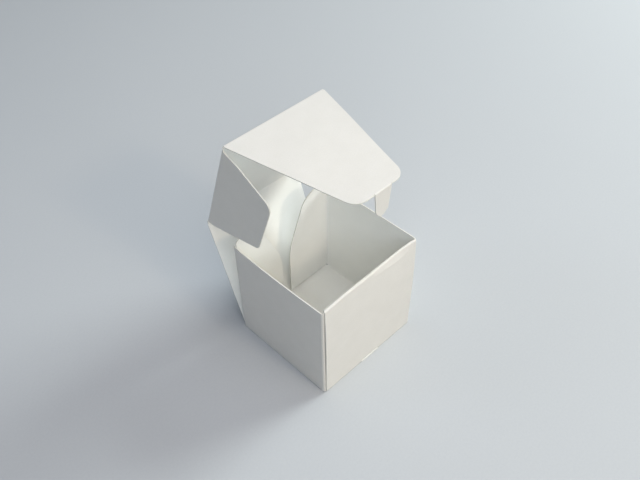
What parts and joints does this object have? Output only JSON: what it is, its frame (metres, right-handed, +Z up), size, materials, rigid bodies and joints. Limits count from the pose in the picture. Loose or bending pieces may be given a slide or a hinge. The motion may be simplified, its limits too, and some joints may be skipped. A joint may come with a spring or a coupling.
{
  "type": "foldable gift box",
  "caption": "Cube-shaped folded card gift box with a hinged lid, two side dust flaps and a tapered closing flap whose tongue locks in a slot at the front's foot.",
  "frame": {"origin": "middle of the floor's underside, on the surface that the box stands on", "axes": "+Z up out of the tray; -Y towards the front, the double wall with the tongue slot at its foot; +Y towards the leaning back wall; +X across, to the right hand seen from the front"},
  "size_m": [0.06, 0.083, 0.1166],
  "materials": {
    "white_card": "satin"
  },
  "bodies": {
    "tray": {"tray": "white_card"},
    "back_wall": {"back_wall": "white_card"},
    "lid_panel": {"lid_panel": "white_card"},
    "dust_flap_left": {"dust_flap_left": "white_card"},
    "dust_flap_right": {"dust_flap_right": "white_card"},
    "closing_flap": {"closing_flap": "white_card"},
    "locking_tongue": {"locking_tongue": "white_card"}
  },
  "joints": [
    {"name": "back_wall_hinge", "type": "hinge", "parent": "tray", "child": "back_wall", "pos_m": [0, 0.02975, 0.00025], "axis": [1, 0, 0], "range_deg": [-14.61, 18.85]},
    {"name": "lid_hinge", "type": "hinge", "parent": "back_wall", "child": "lid_panel", "pos_m": [0, 0.04978, 0.05892], "axis": [1, 0, 0], "range_deg": [-39.3, 50.7]},
    {"name": "closing_flap_hinge", "type": "hinge", "parent": "lid_panel", "child": "closing_flap", "pos_m": [0, 0.02838, 0.11631], "axis": [1, 0, 0], "range_deg": [-74.8, 15.2]},
    {"name": "tongue_hinge", "type": "hinge", "parent": "closing_flap", "child": "locking_tongue", "pos_m": [0, -0.03271, 0.1107], "axis": [1, 0, 0], "range_deg": [-85, 5]},
    {"name": "dust_flap_left_hinge", "type": "hinge", "parent": "lid_panel", "child": "dust_flap_left", "pos_m": [-0.02905, 0.04978, 0.05892], "axis": [0, -0.3494, 0.937], "range_deg": [-90, 0]},
    {"name": "dust_flap_right_hinge", "type": "hinge", "parent": "lid_panel", "child": "dust_flap_right", "pos_m": [0.02905, 0.04978, 0.05892], "axis": [0, 0.3494, -0.937], "range_deg": [-90, 0]}
  ],
  "couplings": [
    {"joint": "lid_hinge", "follows": "back_wall_hinge", "ratio": 2.6896}
  ]
}
